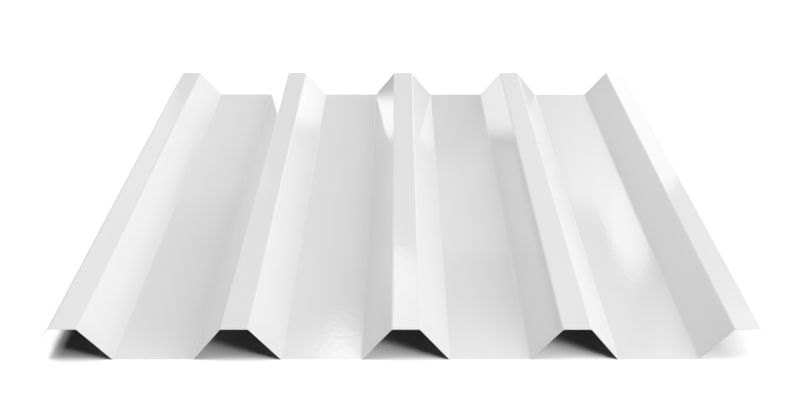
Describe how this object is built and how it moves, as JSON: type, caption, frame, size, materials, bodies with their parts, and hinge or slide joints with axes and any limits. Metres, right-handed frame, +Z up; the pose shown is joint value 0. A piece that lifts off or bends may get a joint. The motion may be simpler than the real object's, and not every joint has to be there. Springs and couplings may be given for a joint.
{
  "type": "trapezoidal corrugated metal sheet",
  "caption": "Roll-formed roof and wall sheet of coated steel: flat-topped ribs, wide pans, square-cut ends, a short underlap lip on one side and an open overlap crest on the other.",
  "frame": {"origin": "on the floor plane under the pans, at the middle of the sheet's footprint", "axes": "+X across the ribs towards the overlap side, +Y along the ribs, +Z up, out of the weather face"},
  "size_m": [1.0546, 1, 0.056],
  "materials": {
    "coated_steel": "semi-gloss"
  },
  "bodies": {
    "root": {"profiled_sheet": "coated_steel"}
  },
  "joints": []
}
